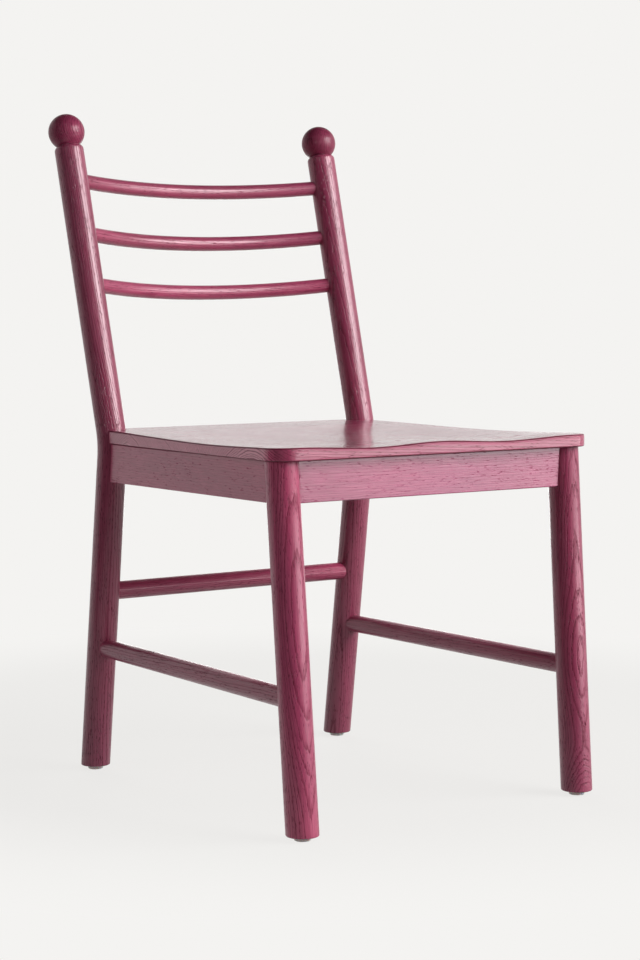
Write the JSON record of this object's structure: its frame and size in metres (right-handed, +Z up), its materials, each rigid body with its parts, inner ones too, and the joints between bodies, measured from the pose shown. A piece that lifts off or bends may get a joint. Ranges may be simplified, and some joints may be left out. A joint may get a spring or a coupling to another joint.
{
  "type": "dining chair",
  "caption": "Wooden dining chair with a saddle seat, round raked legs, a back of bowed rungs between bent posts, and turned ball finials.",
  "frame": {"origin": "on the floor, under the centre of the chair's bounding box", "axes": "+Z up along the chair's height; +Y from the front of the seat to the back; +X to the right as seen from in front of the chair, square to its plane of symmetry"},
  "size_m": [0.4742, 0.5932, 0.8599],
  "materials": {
    "frame_wood": "plum stained open-pored hardwood under a satin lacquer",
    "seat_wood": "plum stained solid wood board under a satin lacquer",
    "block_wood": "plain unstained wood, sanded",
    "zinc_steel": "zinc plated",
    "glide_plastic": "pale translucent plastic"
  },
  "bodies": {
    "root": {"front_leg_left": "frame_wood", "front_leg_right": "frame_wood", "back_post_left": "frame_wood", "back_post_right": "frame_wood", "finial_left": "frame_wood", "finial_right": "frame_wood", "front_apron": "frame_wood", "back_apron": "frame_wood", "side_apron_left": "frame_wood", "side_apron_right": "frame_wood", "side_stretcher_left": "frame_wood", "side_stretcher_right": "frame_wood", "back_stretcher": "frame_wood", "top_rung": "frame_wood", "middle_rung": "frame_wood", "bottom_rung": "frame_wood", "seat": "seat_wood", "corner_block_front_left": "block_wood", "corner_block_front_right": "block_wood", "corner_block_back_left": "block_wood", "corner_block_back_right": "block_wood", "seat_screw_front_left": "zinc_steel", "block_screw_front_left_cross": "zinc_steel", "block_screw_front_left_side": "zinc_steel", "seat_screw_front_right": "zinc_steel", "block_screw_front_right_cross": "zinc_steel", "block_screw_front_right_side": "zinc_steel", "seat_screw_back_left": "zinc_steel", "block_screw_back_left_cross": "zinc_steel", "block_screw_back_left_side": "zinc_steel", "seat_screw_back_right": "zinc_steel", "block_screw_back_right_cross": "zinc_steel", "block_screw_back_right_side": "zinc_steel", "glide_front_left": "glide_plastic", "glide_nail_front_left": "zinc_steel", "glide_front_right": "glide_plastic", "glide_nail_front_right": "zinc_steel", "glide_back_left": "glide_plastic", "glide_nail_back_left": "zinc_steel", "glide_back_right": "glide_plastic", "glide_nail_back_right": "zinc_steel"}
  },
  "joints": []
}
